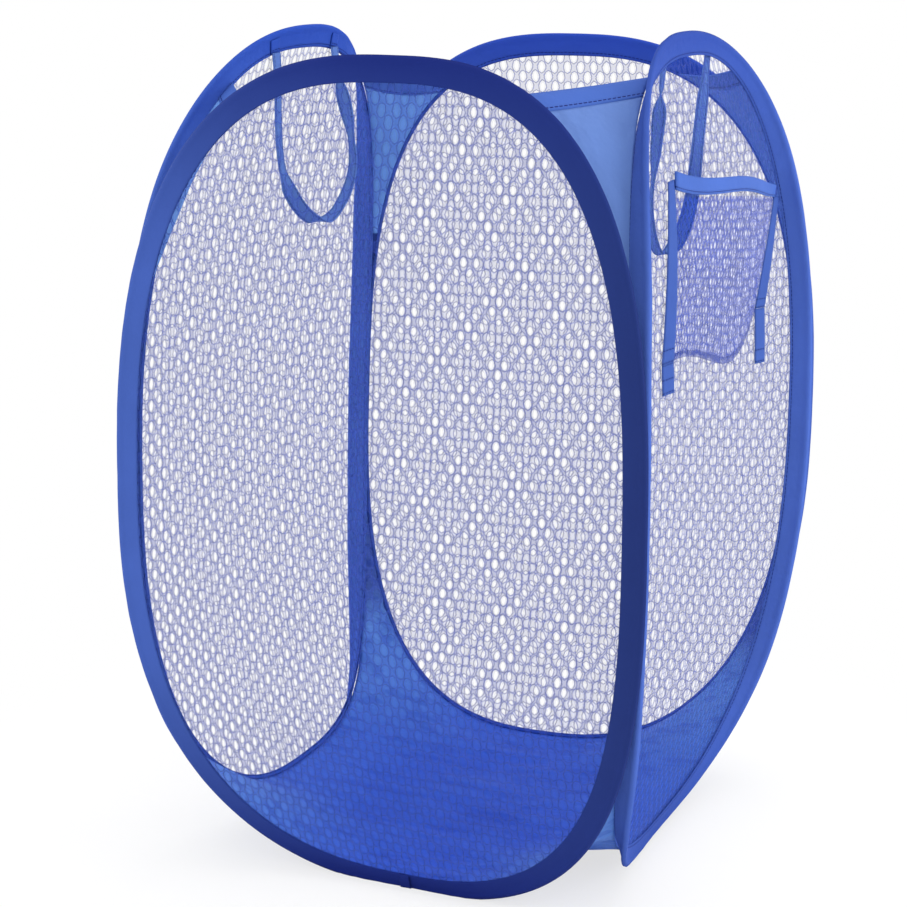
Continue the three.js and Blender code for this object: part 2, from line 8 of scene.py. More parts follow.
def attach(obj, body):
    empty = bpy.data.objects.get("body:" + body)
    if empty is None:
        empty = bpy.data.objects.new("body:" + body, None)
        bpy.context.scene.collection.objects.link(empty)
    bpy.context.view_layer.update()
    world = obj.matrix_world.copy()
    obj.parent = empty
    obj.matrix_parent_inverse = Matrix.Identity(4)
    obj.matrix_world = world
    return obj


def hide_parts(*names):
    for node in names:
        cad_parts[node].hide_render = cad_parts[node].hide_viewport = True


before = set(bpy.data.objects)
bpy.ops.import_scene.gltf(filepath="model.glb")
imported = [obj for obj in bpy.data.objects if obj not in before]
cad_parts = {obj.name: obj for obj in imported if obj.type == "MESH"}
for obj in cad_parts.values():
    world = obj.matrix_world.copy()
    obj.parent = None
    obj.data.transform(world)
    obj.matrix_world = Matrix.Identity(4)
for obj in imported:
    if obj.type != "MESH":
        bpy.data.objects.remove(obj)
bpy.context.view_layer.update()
mm = 0.001
turn = 2 * math.pi
print("frame loaded")


view = {
    "place": (0.63083, -1.54507, 0.67854),
    "forward": (-0.36863, 0.90287, -0.2212),
    "up": (-0.09435, 0.20039, 0.97516),
    "lens": 90.01,
    "sensor": 36,
    "shift": (-0.03275, -0.01955),
    "far": 50,
}

cameraData = bpy.data.cameras.new("camera")
cameraData.sensor_width = view["sensor"]
cameraData.lens = view["lens"]
cameraData.shift_x, cameraData.shift_y = view["shift"]
cameraData.clip_end = view["far"]
camera = bpy.data.objects.new("camera", cameraData)
bpy.context.scene.collection.objects.link(camera)
forward = Vector(view["forward"]).normalized()
side = forward.cross(Vector(view["up"])).normalized()
upright = side.cross(forward)
facing = Matrix((side, upright, -forward)).transposed().to_4x4()
camera.matrix_world = Matrix.Translation(view["place"]) @ facing
bpy.context.scene.camera = camera


class Signal:  # a socket that takes part in sums
    def __init__(self, finish, socket):
        self.finish = finish
        self.socket = socket

    def math(self, operation, *values):
        return self.finish.node("ShaderNodeMath", {"operation": operation}, dict(enumerate(values)))

    def __add__(self, other):
        return self.math("ADD", self, other)

    def __sub__(self, other):
        return self.math("SUBTRACT", self, other)

    def __rsub__(self, other):
        return self.math("SUBTRACT", other, self)

    def __mul__(self, other):
        return self.math("MULTIPLY", self, other)

    def __truediv__(self, other):
        return self.math("DIVIDE", self, other)

    def __lt__(self, other):
        return self.math("LESS_THAN", self, other)

    def __gt__(self, other):
        return self.math("GREATER_THAN", self, other)

    def __abs__(self):
        return self.math("ABSOLUTE", self)

    def power(self, exponent):
        return self.math("POWER", self, exponent)

    def held(self, low, high):  # never below low, never above high
        raised = self.math("MAXIMUM", self, low)
        return raised.math("MINIMUM", raised, high)

    def sine(self):
        return self.math("SINE", self)

    def part(self):  # what is left after whole steps
        return self.math("FRACT", self)

    def out(self, name):
        return Signal(self.finish, self.socket.node.outputs[name])


class Finish:
    def __init__(self, name):
        self.material = bpy.data.materials.new(name)
        self.material.use_nodes = True
        self.tree = self.material.node_tree
        self.shader = self.tree.nodes["Principled BSDF"]

    def node(self, kind, settings, sockets):
        made = self.tree.nodes.new(kind)
        for key, value in settings.items():
            setattr(made, key, value)
        for key, value in sockets.items():
            self.feed(made.inputs[key], value)
        return Signal(self, made.outputs[0])

    def feed(self, socket, value):
        if isinstance(value, Signal):
            self.tree.links.new(value.socket, socket)
        else:
            socket.default_value = value

    def set(self, **sockets):
        for key, value in sockets.items():
            self.feed(self.shader.inputs[key.replace("_", " ")], value)
        return self.material

    def place(self):
        return self.node("ShaderNodeTexCoord", {}, {}).out("Object")

    def cloth(self):  # metres along and across the cloth
        plan = self.node("ShaderNodeUVMap", {"uv_map": "cloth"}, {})
        parts = self.node("ShaderNodeSeparateXYZ", {}, {0: plan})
        return parts.out("X"), parts.out("Y")

    def cloud(self, size, detail=2.0, stretch=(1, 1, 1)):
        place = self.node("ShaderNodeMapping", {}, {"Vector": self.place(), "Scale": stretch})
        sockets = {"Vector": place, "Scale": 1 / size, "Detail": detail}
        return self.node("ShaderNodeTexNoise", {}, sockets)

    def axis(self, name):
        return self.node("ShaderNodeSeparateXYZ", {}, {0: self.place()}).out(name)

    def blend(self, share, first, second):
        made = self.tree.nodes.new("ShaderNodeMix")
        made.data_type = "RGBA"
        self.feed(made.inputs[0], share)
        self.feed(made.inputs[6], first)
        self.feed(made.inputs[7], second)
        return Signal(self, made.outputs[2])

    def relief(self, height, distance, strength=1.0):
        sockets = {"Height": height, "Distance": distance, "Strength": strength}
        return self.node("ShaderNodeBump", {}, sockets)


def tone(red, green, blue):  # screen colour, 0 to 255
    def linear(value):
        share = value / 255
        return share / 12.92 if share <= 0.04045 else ((share + 0.055) / 1.055) ** 2.4

    return (linear(red), linear(green), linear(blue), 1.0)


stitch = {"dash": 0.72, "proud": 0.9, "grooveWidth": 3, "groove": 1.2}


def wovenFinish(name, look):
    finish = Finish(name)
    along, across = finish.cloth()
    threads = (along * (turn / look["rib"])).sine() * (across * (turn / look["thread"])).sine()
    patches = finish.cloud(look["patch"]) * look["patchShare"]
    colour = finish.blend(patches, look["colour"], look["shade"])
    if "far" in look:  # painted shade: darker towards the hamper's right
        colour = finish.blend(finish.axis("X") * look["farRate"] + look["farFrom"], colour, look["far"])
    if "ends" in look:  # painted shade: darker towards the top and the bottom
        share = abs(finish.axis("Z") * (2 / frameHeight) - 1.0)
        colour = finish.blend(share.power(look["endsPower"]), colour, look["ends"])
    if "summit" in look:  # painted shade: darker above a height
        share = (finish.axis("Z") - look["summitFrom"]) * look["summitRate"]
        colour = finish.blend(share.held(0.0, 1.0), colour, look["summit"])
    # painted crease shade: dark streaks along stretched noise
    if "creaseShade" in look:
        creaseShades = finish.cloud(look["streakSize"], 2.0, look["stretch"]) - look["streakFrom"]
        share = (creaseShades * look["streakRate"]).held(0.0, look["streakMost"])
        colour = finish.blend(share, colour, look["creaseShade"])
    creases = finish.cloud(look["crease"], 3.0, look.get("stretch", (1, 1, 1)))
    height = threads * look["weave"] + creases * look["creaseShare"]
    for row in look.get("stitchRows", ()):
        away = abs(across - row)
        line = (away < look["stitchWidth"]) * ((along / look["stitchPitch"]).part() < stitch["dash"])
        groove = (away < stitch["grooveWidth"] * look["stitchWidth"]) * stitch["groove"]
        colour = finish.blend(line, colour, look["stitchColour"])
        height = height + line * stitch["proud"] - groove
    return finish.set(
        Base_Color=colour, Roughness=look["roughness"], Specular_IOR_Level=look["shine"],
        Normal=finish.relief(height, look["depth"]), Alpha=look.get("alpha", 1.0),
    )


# screen colours; the binding, the nylon and the base come in lighter and darker copies of one cloth: painted
# light and shade for how light falls on each part
blue = {
    "front": tone(68, 96, 178),
    "frontShadedRight": tone(20, 32, 88),
    "frontEnds": tone(21, 35, 110),
    "right": tone(78, 108, 194),
    "rightEnds": tone(46, 72, 156),
    "back": tone(66, 94, 176),
    "backEnds": tone(40, 70, 174),
    "left": tone(74, 104, 188),
    "leftEnds": tone(42, 76, 174),
    "nylon": tone(98, 130, 198),
    "nylonLit": tone(108, 154, 226),
    "nylonShade": tone(78, 116, 204),
    "hem": tone(70, 104, 188),
    "base": tone(104, 152, 226),
    "baseEnds": tone(20, 64, 192),
    "webbing": tone(92, 124, 196),
    "ribbon": tone(66, 94, 172),
    "thread": tone(20, 32, 104),
    "net": tone(46, 68, 160),
    "netShade": tone(64, 84, 176),
    "pocket": tone(40, 84, 214),
}
frameHeight = 0.6


def darker(colour, share):
    return (*(part * share for part in colour[:3]), 1.0)


def bindingCloth(side, extras):
    return wovenFinish(f"binding cloth {side}", {
        "colour": blue[side], "shade": darker(blue[side], 0.62), "patch": 0.05, "patchShare": 0.6,
        "ends": blue[side + "Ends"], "endsPower": 3.5, "roughness": 0.8, "shine": 0.06,
        "rib": 0.9 * mm, "thread": 0.9 * mm, "weave": 0.12, "crease": 0.01, "creaseShare": 2.4,
        "depth": 0.35 * mm, **extras,
    })


def nylonCloth(name, colour):
    return wovenFinish(name, {
        "colour": colour, "shade": darker(colour, 0.75), "patch": 0.06, "patchShare": 0.7,
        "rib": 0.7 * mm, "thread": 0.7 * mm, "weave": 0.1, "crease": 0.022, "creaseShare": 9.0,
        "depth": 0.45 * mm, "stretch": (1, 1, 0.35), "roughness": 0.6, "shine": 0.12,
    })


bindingStitches = {
    "stitchRows": (2.2 * mm, 33.8 * mm), "stitchWidth": 0.3 * mm, "stitchPitch": 3.4 * mm,
    "stitchColour": blue["thread"],
}
# one binding tape in a lit or shaded copy for each side of the hamper: painted light and shade
bindingFinishes = {side: bindingCloth(side, bindingStitches) for side in ("right", "back", "left")}
bindingFinishes["front"] = bindingCloth("front", {"far": blue["frontShadedRight"], "farRate": 2.2, "farFrom": 0.4})
# one nylon in painted lit and shaded copies: a lighter or darker tone for each gusset corner
nylonFinishes = {
    "front_right": nylonCloth("lit nylon", blue["nylon"]),
    "back_right": nylonCloth("shaded nylon", blue["nylonShade"]),
    "back_left": nylonCloth("far lit nylon", blue["nylonLit"]),
    "front_left": nylonCloth("near lit nylon", blue["nylonLit"]),
}
hemFinish = wovenFinish("nylon hem", {
    "colour": blue["hem"], "shade": darker(blue["hem"], 0.7), "patch": 0.05, "patchShare": 0.7,
    "rib": 0.7 * mm, "thread": 0.7 * mm, "weave": 0.1, "crease": 0.01, "creaseShare": 2.0,
    "depth": 0.35 * mm, "roughness": 0.7, "shine": 0.1,
    "stitchRows": (1.6 * mm,), "stitchWidth": 0.3 * mm, "stitchPitch": 3.0 * mm,
    "stitchColour": blue["thread"],
})
# painted light and shade: lighter where the base rises at the corners, darker on the floor and at the top of
# the rise, with darker crease streaks
baseFinish = wovenFinish("base nylon", {
    "colour": blue["base"], "shade": darker(blue["base"], 0.7), "patch": 0.07, "patchShare": 0.9,
    "ends": blue["baseEnds"], "endsPower": 6.0,
    "summit": darker(blue["left"], 0.7), "summitFrom": 0.08, "summitRate": 30,
    "creaseShade": darker(blue["baseEnds"], 0.7), "streakSize": 0.0096, "streakFrom": 0.54,
    "streakRate": 5, "streakMost": 0.32, "stretch": (0.2, 1, 1),
    "rib": 0.7 * mm, "thread": 0.7 * mm, "weave": 0.06, "crease": 0.016, "creaseShare": 9.0,
    "depth": 0.8 * mm, "roughness": 0.6, "shine": 0.12,
})


def webbingCloth(name, colour):
    return wovenFinish(name, {
        "colour": colour, "shade": darker(colour, 0.7), "patch": 0.03, "patchShare": 0.6,
        "rib": 1.4 * mm, "thread": 0.9 * mm, "weave": 0.25, "crease": 0.02, "creaseShare": 1.0,
        "depth": 0.35 * mm, "roughness": 0.8, "shine": 0.06,
        "stitchRows": (1.6 * mm, 10.4 * mm), "stitchWidth": 0.25 * mm, "stitchPitch": 3.0 * mm,
        "stitchColour": blue["thread"],
    })


webbingFinish = webbingCloth("webbing", blue["webbing"])
ribbonFinish = webbingCloth("ribbon", blue["ribbon"])


yarn = {
    "line": 0.42, "narrow": 6.0, "patch": 0.03, "fibre": 0.8 * mm, "relief": 0.2 * mm, "strength": 0.6,
    "roughness": 0.7, "shine": 0.05,
}


def yarnFinish(name, colour, shade, alphas):  # alphas of the outline, the middle and the fuzz
    finish = Finish(name)
    pale = finish.node("ShaderNodeAttribute", {"attribute_name": "pale"}, {}).out("Fac")
    colour = finish.blend(finish.cloud(yarn["patch"]), colour, shade)
    outline, middle, fuzz = alphas
    line = (1.0 - abs(pale - yarn["line"]) * yarn["narrow"]) * outline
    body = (pale > yarn["line"]) * (middle - fuzz) + fuzz
    return finish.set(
        Base_Color=colour, Roughness=yarn["roughness"], Specular_IOR_Level=yarn["shine"],
        Normal=finish.relief(finish.cloud(yarn["fibre"], 1.0), yarn["relief"], yarn["strength"]),
        Alpha=body.math("MAXIMUM", body, line),
    )


netFinish = yarnFinish("net yarn", blue["net"], blue["netShade"], (0.54, 0.15, 0.06))
pocketFinish = yarnFinish("pocket yarn", blue["pocket"], blue["net"], (0.6, 0.36, 0.2))

pocketBorderFinish = wovenFinish("pocket border", {
    "colour": blue["pocket"], "shade": darker(blue["pocket"], 0.7), "patch": 0.01, "patchShare": 0.9,
    "rib": 2.2 * mm, "thread": 2.2 * mm, "weave": 1.5, "crease": 0.01, "creaseShare": 1.0,
    "depth": 0.4 * mm, "roughness": 0.7, "shine": 0.15, "alpha": 0.4,
})

wireFinish = Finish("spring wire")
wireFinish.set(
    Base_Color=wireFinish.blend(wireFinish.cloud(0.01), tone(170, 172, 176), tone(140, 142, 148)),
    Metallic=1.0, Roughness=wireFinish.cloud(0.004) * 0.2 + 0.25,
)
print("finishes ready")


hamper = {
    "height": 600, "side": 408, "power": 2.65, "bandWidth": 18, "bowPower": 2.3,
    "seamGap": 0.5, "bandHalf": 2.0, "flatShare": 0.93,
}
halfHeight = hamper["height"] / 2
netHalfHeight = halfHeight - hamper["bandWidth"]
faceNet = {
    "halfWidth": hamper["side"] / 2 - hamper["bandWidth"], "distance": hamper["side"] / 2,
    "bowTop": 30, "bowBottom": 56, "twist": 0.0,
}
sideNet = {
    "halfWidth": hamper["side"] / 2 - 2 * hamper["bandHalf"] - hamper["seamGap"],
    "distance": hamper["side"] / 2 - hamper["bandWidth"],
    "bowTop": 34, "bowBottom": 40, "twist": turn / 4,
}


def bowAt(net, height):  # how far a side leans in, by its height above the middle
    reach = net["bowTop"] if height > 0 else net["bowBottom"]
    return reach * (abs(height) / halfHeight) ** hamper["bowPower"]


def slopeAt(net, height):
    reach = net["bowTop"] if height > 0 else net["bowBottom"]
    steep = hamper["bowPower"] * reach / halfHeight
    return math.copysign(steep * (abs(height) / halfHeight) ** (hamper["bowPower"] - 1), height)


def onNet(net, across, height, proud=0.0):  # a side's own frame: x across, y inwards, z up
    slope = slopeAt(net, height)
    length = math.hypot(1, slope)
    depth = bowAt(net, height) - net["distance"]
    return Vector((across, depth - proud / length, halfHeight + height - proud * slope / length))


def stitchAcross(net, height):
    rest = max(0.0, 1 - (abs(height) / netHalfHeight) ** hamper["power"])
    return net["halfWidth"] * rest ** (1 / hamper["power"])


def stitchHeight(net, across):
    rest = max(0.0, 1 - (abs(across) / net["halfWidth"]) ** hamper["power"])
    return netHalfHeight * rest ** (1 / hamper["power"])


def bandFrame(net, across, height):  # how the binding lies at one place of its stitch line
    steep = hamper["power"] - 1
    leanAcross = math.copysign((abs(across) / net["halfWidth"]) ** steep, across) / net["halfWidth"]
    leanUp = math.copysign((abs(height) / netHalfHeight) ** steep, height) / netHalfHeight
    size = math.hypot(leanAcross, leanUp)
    slope = slopeAt(net, height)
    normal = Vector((0, -1, -slope)).normalized()
    rise = Vector((0, slope, 1)).normalized()
    flat = Vector((leanAcross / size, 0, 0)) + rise * (leanUp / size)
    twist = net["twist"] * min(1, abs(across) / net["halfWidth"] / hamper["flatShare"]) ** 2
    return {
        "point": onNet(net, across, height),
        "flat": flat,
        "normal": normal,
        "grip": math.cos(twist),
        "out": flat * math.cos(twist) + normal * math.sin(twist),
        "face": normal * math.cos(twist) - flat * math.sin(twist),
    }


def onBand(station, along, proud):
    return station["point"] + station["out"] * along + station["face"] * proud


sewn = {"deep": 2.4, "behind": 1.9}


def seamSpot(net, across, height):  # where the edge of an inner cloth is sewn on, behind the binding
    return onBand(bandFrame(net, across, height), sewn["deep"], -sewn["behind"])


def stitchLoop(net, count):  # even steps round the stitch line, from the middle of the bottom
    fine = 4000
    power = 2 / hamper["power"]
    points = []
    for k in range(fine + 1):
        angle = turn * k / fine - turn / 4
        c, s = math.cos(angle), math.sin(angle)
        points.append((
            net["halfWidth"] * math.copysign(abs(c) ** power, c),
            netHalfHeight * math.copysign(abs(s) ** power, s),
        ))
    runs = [0.0]
    for first, second in zip(points, points[1:]):
        runs.append(runs[-1] + math.dist(first, second))
    loop = []
    at = 0
    for k in range(count):
        run = runs[-1] * k / count
        while runs[at + 1] < run:
            at += 1
        share = (run - runs[at]) / (runs[at + 1] - runs[at])
        loop.append(tuple(a + (b - a) * share for a, b in zip(points[at], points[at + 1])))
    return loop, runs[-1]


footing = {"across": 16.2, "half": 1.2}
for net in (faceNet, sideNet):
    foot = bandFrame(net, footing["across"], -stitchHeight(net, footing["across"]))
    under = [onBand(foot, hamper["bandWidth"], proud).z for proud in (footing["half"], -footing["half"])]
    net["drop"] = max(under)

sides = {
    "front": (faceNet, 0.0),
    "right": (sideNet, turn / 4),
    "back": (faceNet, turn / 2),
    "left": (sideNet, -turn / 4),
}


# This hamper stands a little askew. Each row is a shift in mm to the right, back and up, which grows with
# the product of its letters, and x, y and z run from -1 to 1 over the hamper's box.
stance = {
    "x": (-2.5, -1.11, 2.58),
    "y": (-1.39, -1.09, 1.89),
    "z": (1.59, 0.29, 0.04),
    "xy": (2.34, 4.09, 2.39),
    "yz": (1.94, -0.7, -0.53),
    "xz": (-2.93, -1.24, 1.67),
    "xyz": (-0.89, -1.21, -2.45),
    "xx": (-2.13, 5.93, 6.45),
    "yy": (1.29, -6.89, -8.86),
    "zz": (-0.13, -0.03, 1.49),
    "xzz": (-0.32, 0.65, -1.97),
    "yzz": (0.89, 1.52, -1.38),
}


def askew(point):  # from mm where it would stand straight to metres where it stands
    place = {
        "x": 2 * point.x / hamper["side"], "y": 2 * point.y / hamper["side"], "z": point.z / halfHeight - 1,
    }
    moved = Vector(point)
    for letters, shift in stance.items():
        moved += Vector(shift) * math.prod(place[letter] for letter in letters)
    moved.z = max(moved.z, 0.0)
    return moved * mm


def settled(net, heading, point):  # from a side's own frame, in mm, to the row's frame, in metres
    lowered = Vector((point.x, point.y, max(point.z - net["drop"], 0.0)))
    return askew(Matrix.Rotation(heading, 3, "Z") @ lowered)


def gridMesh(columns, rows, place, size):  # a cloth of columns by rows, size in mm for its weave
    bm = bmesh.new()
    layer = bm.loops.layers.uv.new("cloth")
    bmesh.ops.create_grid(bm, x_segments=columns, y_segments=rows, size=0.5, calc_uvs=True)
    for face in bm.faces:
        for loop in face.loops:
            uv = loop[layer].uv
            loop[layer].uv = (uv.x * size[0] * mm, uv.y * size[1] * mm)
    for vert in bm.verts:
        vert.co = place(vert.co.x + 0.5, vert.co.y + 0.5)
    return bm


def piece(name, bm, finish, body="hamper", replaces=(), weld=0.00001):
    bmesh.ops.remove_doubles(bm, verts=bm.verts, dist=weld)
    mesh = bpy.data.meshes.new(name)
    bm.to_mesh(mesh)
    bm.free()
    mesh.shade_smooth()
    mesh.materials.append(finish)
    made = bpy.data.objects.new(name, mesh)
    bpy.context.scene.collection.objects.link(made)
    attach(made, body)
    if replaces:
        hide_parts(*replaces)
    return made


def thicken(made, thickness):  # half of it to each side
    shell = made.modifiers.new("thickness", "SOLIDIFY")
    shell.thickness = thickness * mm
    shell.offset = 0


def ripple(point, size, seed=0.0):  # smooth noise, about -1 to 1
    return noise.noise(Vector(point) / (size * mm) + Vector((seed, 7 * seed, 3 * seed))) * 1.6


tape = {
    "steps": 300, "across": 26, "thickness": 0.6, "start": 0.4, "flat": 1.0,
    "bulgeAt": 14.8, "bulge": 0.75, "bulgeWidth": 2.2, "mouth": 0.75, "mouthWidth": 2.0, "rimWidth": 2.2,
    "overlap": 0.8, "pucker": 0.22, "puckerSize": 14, "puckerFade": 4,
    "wave": 0.35, "waveSize": 70, "waveFade": 8, "waveSeed": 3,
}


def tapeSection(share):  # across the tape: from the outer edge over the fold to the inner edge
    width = hamper["bandWidth"] - tape["thickness"] / 2
    reach = 2 * width * min(share, 1 - share)
    side = 1 if share < 0.5 else -1
    rise = tape["flat"] + tape["bulge"] * math.exp(-((reach - tape["bulgeAt"]) / tape["bulgeWidth"]) ** 2)
    rise -= (tape["flat"] - tape["mouth"]) * math.exp(-(reach / tape["mouthWidth"]) ** 2)
    close = max(0.0, (reach - (width - tape["rimWidth"])) / tape["rimWidth"])
    rise *= math.sqrt(max(0.0, 1 - close ** 2))
    return tape["start"] + reach * (width - tape["start"]) / width, side * rise


wire = {"radius": 1.0, "seat": 14.7, "sides": 8}

for name, (net, heading) in sides.items():
    loop, length = stitchLoop(net, tape["steps"])
    stations = [bandFrame(net, across, height) for across, height in loop]

    def placeTape(along, across, net=net, heading=heading, stations=stations):
        station = stations[round(along * tape["steps"]) % tape["steps"]]
        reach, proud = tapeSection(across)
        reach -= tape["overlap"] * (1 - station["grip"]) * (1 - reach / hamper["bandWidth"])
        spot = settled(net, heading, onBand(station, reach, proud))
        lift = tape["pucker"] * ripple(spot, tape["puckerSize"], heading) * min(1, reach / tape["puckerFade"])
        wave = ripple(spot, tape["waveSize"], heading + tape["waveSeed"])
        lift += tape["wave"] * wave * min(1, reach / tape["waveFade"])
        grip = 0.0 if proud == 0 else 1.0
        return settled(net, heading, onBand(station, reach, proud + lift * grip))

    bm = gridMesh(tape["steps"], tape["across"], placeTape, (length, 2 * hamper["bandWidth"]))
    made = piece(f"binding_cloth_{name}", bm, bindingFinishes[name],
                 replaces=[f"binding_{name}"])
    thicken(made, tape["thickness"])
    length * mm

    def placeWire(along, across, net=net, heading=heading, stations=stations):
        station = stations[round(along * tape["steps"]) % tape["steps"]]
        reach = wire["seat"] + wire["radius"] * math.cos(turn * across)
        return settled(net, heading, onBand(station, reach, wire["radius"] * math.sin(turn * across)))

    bm = gridMesh(tape["steps"], wire["sides"], placeWire, (length, turn * wire["radius"]))
    piece(f"spring_wire_{name}", bm, wireFinish.material, replaces=[f"hoop_wire_{name}"])


joint = {"at": 7.5, "half": 4.0, "lift": 1.5, "steps": 8, "wide": 1.06, "flare": 0.18}


def placeJoint(along, across):  # the folded end of the front tape, sewn over its start
    net, heading = sides["front"]
    x = joint["at"] + joint["half"] * (2 * along - 1)
    reach, proud = tapeSection(across)
    spread = joint["wide"] + joint["flare"] * along
    lift = math.copysign(joint["lift"], proud) if abs(proud) > 0.01 else 0.0
    station = bandFrame(net, x, -stitchHeight(net, x))
    return settled(net, heading, onBand(station, reach * spread, proud + lift))


bm = gridMesh(joint["steps"], tape["across"], placeJoint, (2 * joint["half"], 2 * hamper["bandWidth"]))
thicken(piece("binding_joint", bm, bindingFinishes["front"]), tape["thickness"])
print("bindings made")


netting = {
    "pitch": 11.2, "step": 7.8, "waist": 0.9, "hole": (1.6, 3.3), "half": 0.42, "jitter": 0.7,
    "ripple": 1.0, "rippleSize": 60, "faceReach": 5.0, "sideReach": 1.4, "ovalShare": 0.87,
    "trim": 1.005, "weld": 0.00002,
}
ring = {  # how pale each part of a yarn is seen, and the form of a hole
    "corners": 12, "legShare": 0.95, "middleShare": 1.0, "armShare": 0.56, "tipShare": 0.75,
    "lowShare": 0.86, "pointed": 0.3, "taper": 0.12,
    "weld": 0.05, "rimWeld": 0.01, "stubRows": 3, "jitterSize": 9,
}


def ringMesh(look):  # the yarns round one hole: thick upright legs and thin slanted arms
    bm = bmesh.new()
    pale = bm.verts.layers.float.new("pale")
    half, waist, corner = look["pitch"] / 2, look["waist"], look["step"] - look["waist"]
    quarter = [((half, waist), ring["legShare"]), ((half / 2, (waist + corner) / 2), ring["armShare"])]
    lower = [((x, -y), share * ring["lowShare"]) for (x, y), share in reversed(quarter)]
    right = lower + [((half, 0), ring["middleShare"])] + quarter + [((0, corner), ring["tipShare"])]
    outline = right + [((-x, -y), share) for (x, y), share in right]
    cell = bmesh.ops.create_circle(bm, radius=2, segments=ring["corners"])["verts"]
    hole = bmesh.ops.create_circle(bm, radius=1, segments=ring["corners"])["verts"]
    bmesh.ops.bridge_loops(bm, edges=bm.edges[:])
    step = turn / ring["corners"]

    def outlineAt(vert):
        return outline[round(math.atan2(vert.co.y, vert.co.x) / step + 2) % ring["corners"]]

    for vert in cell:
        (x, y), vert[pale] = outlineAt(vert)
        vert.co = (x, y, 0)
    for vert in hole:
        (x, y), _ = outlineAt(vert)
        angle = math.atan2(y / corner, x / half)
        wide = math.cos(angle) * abs(math.cos(angle)) ** ring["pointed"] * (1 - ring["taper"] * math.sin(angle))
        vert.co = (look["hole"][0] * wide, look["hole"][1] * math.sin(angle), 0)
    bm.normal_update()
    bmesh.ops.reverse_faces(bm, faces=[face for face in bm.faces if face.normal.z < 0])
    return bm


def copiesOf(bm, count, shiftOf):  # copies of all that is there, each moved by its shift
    whole = bm.verts[:] + bm.edges[:] + bm.faces[:]
    for k in range(1, count):
        copy = bmesh.ops.duplicate(bm, geom=whole)["geom"]
        verts = [part for part in copy if isinstance(part, bmesh.types.BMVert)]
        bmesh.ops.translate(bm, verts=verts, vec=shiftOf(k))


def latticeMesh(halfAcross, halfUp, keep, look):
    bm = ringMesh(look)
    pitch, step = look["pitch"], look["step"]
    columns = math.ceil(2 * halfAcross / pitch) + 2
    rows = math.ceil(2 * halfUp / step) + 2
    bmesh.ops.translate(bm, verts=bm.verts, vec=(-(columns // 2) * pitch, -(rows // 2) * step, 0))
    copiesOf(bm, columns, lambda k: (k * pitch, 0, 0))
    copiesOf(bm, rows, lambda k: (k % 2 * pitch / 2, k * step, 0))
    centres = {face: face.calc_center_median() for face in bm.faces}
    bmesh.ops.delete(bm, geom=[f for f, c in centres.items() if not keep(c.x, c.y)], context="FACES")
    bmesh.ops.remove_doubles(bm, verts=bm.verts, dist=ring["weld"])
    return bm


def openMesh(bm, look, seed):  # stubs go, and the flat yarns get a rounded front and back
    for _ in range(ring["stubRows"]):
        stubs = [face for face in bm.faces if all(vert.is_boundary for vert in face.verts)]
        bmesh.ops.delete(bm, geom=stubs, context="FACES")
    for vert in bm.verts:
        shift = noise.noise_vector(vert.co / ring["jitterSize"] + Vector((seed, 0, 0))) * look["jitter"]
        vert.co.x += shift.x
        vert.co.y += shift.y
        vert.co.z = 0.0 if vert.is_boundary else look["half"]
    copy = bmesh.ops.duplicate(bm, geom=bm.verts[:] + bm.edges[:] + bm.faces[:])["geom"]
    faces = [part for part in copy if isinstance(part, bmesh.types.BMFace)]
    bmesh.ops.reverse_faces(bm, faces=faces)
    for vert in {vert for face in faces for vert in face.verts}:
        vert.co.z = -vert.co.z
    bmesh.ops.remove_doubles(bm, verts=bm.verts, dist=ring["rimWeld"])


for name, (net, heading) in sides.items():
    reach = netting["faceReach"] if net is faceNet else netting["sideReach"]

    def fullness(across, up, net=net, reach=reach):
        share = (abs(across) / (net["halfWidth"] + reach)) ** hamper["power"]
        return (share + (abs(up) / (netHalfHeight + reach)) ** hamper["power"]) ** (1 / hamper["power"])

    bm = latticeMesh(net["halfWidth"] + reach, netHalfHeight + reach,
                     lambda x, y: fullness(x, y) < netting["trim"], netting)
    openMesh(bm, netting, heading)
    for vert in bm.verts:
        across, up, proud = vert.co
        full = fullness(across, up)
        if full > 1:
            across, up = across / full, up / full
        place = settled(net, heading, onNet(net, across, up))
        sway = netting["ripple"] * ripple(place, netting["rippleSize"], heading + 1) * max(0, 1 - full ** 4)
        vert.co = settled(net, heading, onNet(net, across, up, proud + sway))
    made = piece(f"netting_{name}", bm, netFinish, replaces=[f"mesh_panel_{name}"],
                 weld=netting["weld"])
    oval = netting["ovalShare"] * 4 * net["halfWidth"] * netHalfHeight * mm * mm
    2 * net["halfWidth"] * mm
    0.68 * oval
print("netting made")


corners = {  # which side of the hamper, the hem's height above the middle, its sag and the cloth's folds
    "front_right": {"signs": (-1, 1), "high": 271, "sag": 1, "bulge": 0, "crease": 0.9},
    "back_right": {"signs": (1, 1), "high": 266, "sag": 3, "bulge": 1, "crease": 1.6},
    "back_left": {"signs": (1, -1), "high": 256, "sag": 4, "bulge": -2, "crease": 2.4},
    "front_left": {"signs": (-1, -1), "high": 262, "sag": 5, "bulge": -7, "crease": 1.2},
}
sail = {
    "low": 126, "hem": 9, "columns": 36, "rows": 44, "hemRows": 8, "thickness": 0.35, "hemThickness": 1.1,
    "creaseSize": 26, "flatten": 0.45, "lap": 1, "wide": 80, "tall": 120,
}


def cornerPair(signs, height):
    faceSign, sideSign = signs
    onFace = seamSpot(faceNet, stitchAcross(faceNet, height), height)
    onSide = seamSpot(sideNet, stitchAcross(sideNet, height), height)
    return (
        askew(Vector((sideSign * onFace.x, -faceSign * onFace.y, onFace.z - faceNet["drop"]))),
        askew(Vector((-sideSign * onSide.y, faceSign * onSide.x, onSide.z - sideNet["drop"]))),
    )


def outwardOf(signs):
    return Vector((signs[1], signs[0], 0)).normalized()


